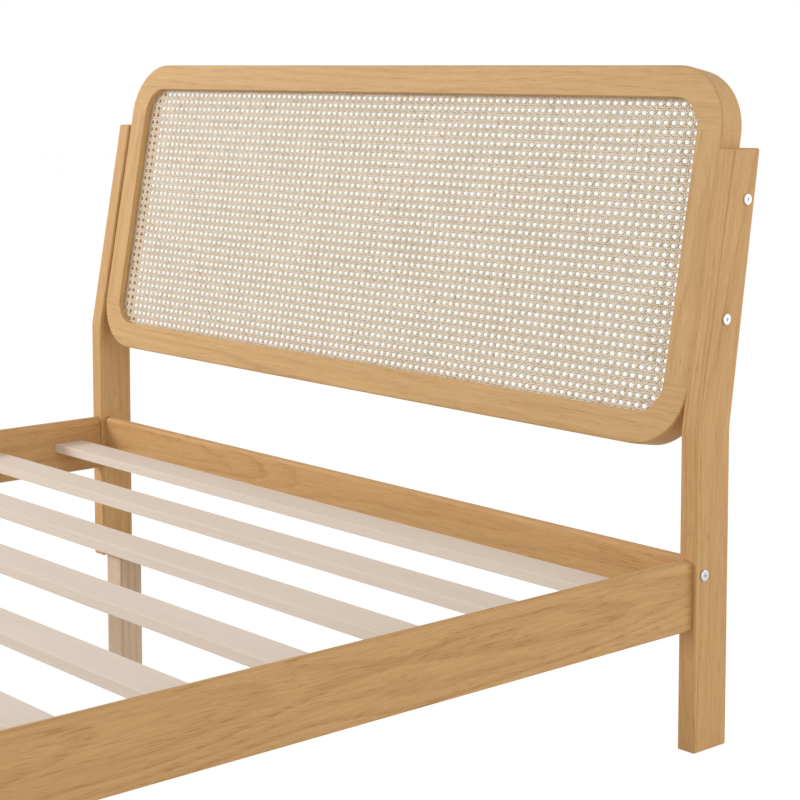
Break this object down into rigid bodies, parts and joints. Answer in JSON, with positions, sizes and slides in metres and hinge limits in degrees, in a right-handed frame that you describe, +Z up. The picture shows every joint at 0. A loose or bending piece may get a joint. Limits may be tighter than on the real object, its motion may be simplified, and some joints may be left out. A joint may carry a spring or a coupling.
{
  "type": "bed frame",
  "caption": "Double bed frame on legs with a slatted base and a leaning headboard: a rounded wooden frame filled with open cane webbing between two raked posts.",
  "frame": {"origin": "on the floor, under the middle of the whole bed's box", "axes": "+X across the bed to its right side as seen from the foot, +Y along the bed towards the head, +Z up from the floor"},
  "size_m": [1.4602, 2.23, 0.9098],
  "materials": {
    "frame_wood": "satin lacquer, grain along each piece",
    "headboard_wood": "satin lacquer, grain along each piece",
    "slat_wood": "plain planed wood",
    "centre_leg_wood": "plain planed wood",
    "cane": "natural woven cane",
    "reed": "natural split reed",
    "steel": "zinc plated",
    "glide_plastic": "moulded",
    "dowel_wood": "fluted beech, glued"
  },
  "bodies": {
    "root": {"cane_spline": "reed", "cane_webbing": "cane", "centre_leg_1": "centre_leg_wood", "centre_leg_2": "centre_leg_wood", "centre_leg_3": "centre_leg_wood", "centre_leg_studs": "steel", "floor_glides": "glide_plastic", "foot_rail": "frame_wood", "foot_rail_bolts": "steel", "head_rail": "frame_wood", "head_rail_bolts": "steel", "headboard_bolts": "steel", "headboard_bottom_rail": "headboard_wood", "headboard_dowels": "dowel_wood", "headboard_insert_nuts": "steel", "headboard_left_stile": "headboard_wood", "headboard_right_stile": "headboard_wood", "headboard_top_rail": "headboard_wood", "left_foot_leg": "frame_wood", "left_head_post": "frame_wood", "left_side_rail": "frame_wood", "rail_barrel_nuts": "steel", "rail_dowels": "dowel_wood", "right_foot_leg": "frame_wood", "right_head_post": "frame_wood", "right_side_rail": "frame_wood", "side_rail_bolts": "steel", "slat_01": "slat_wood", "slat_02": "slat_wood", "slat_03": "slat_wood", "slat_04": "slat_wood", "slat_05": "slat_wood", "slat_06": "slat_wood", "slat_07": "slat_wood", "slat_08": "slat_wood", "slat_09": "slat_wood", "slat_10": "slat_wood", "slat_11": "slat_wood", "slat_12": "slat_wood", "slat_insert_nuts": "steel"}
  },
  "joints": []
}
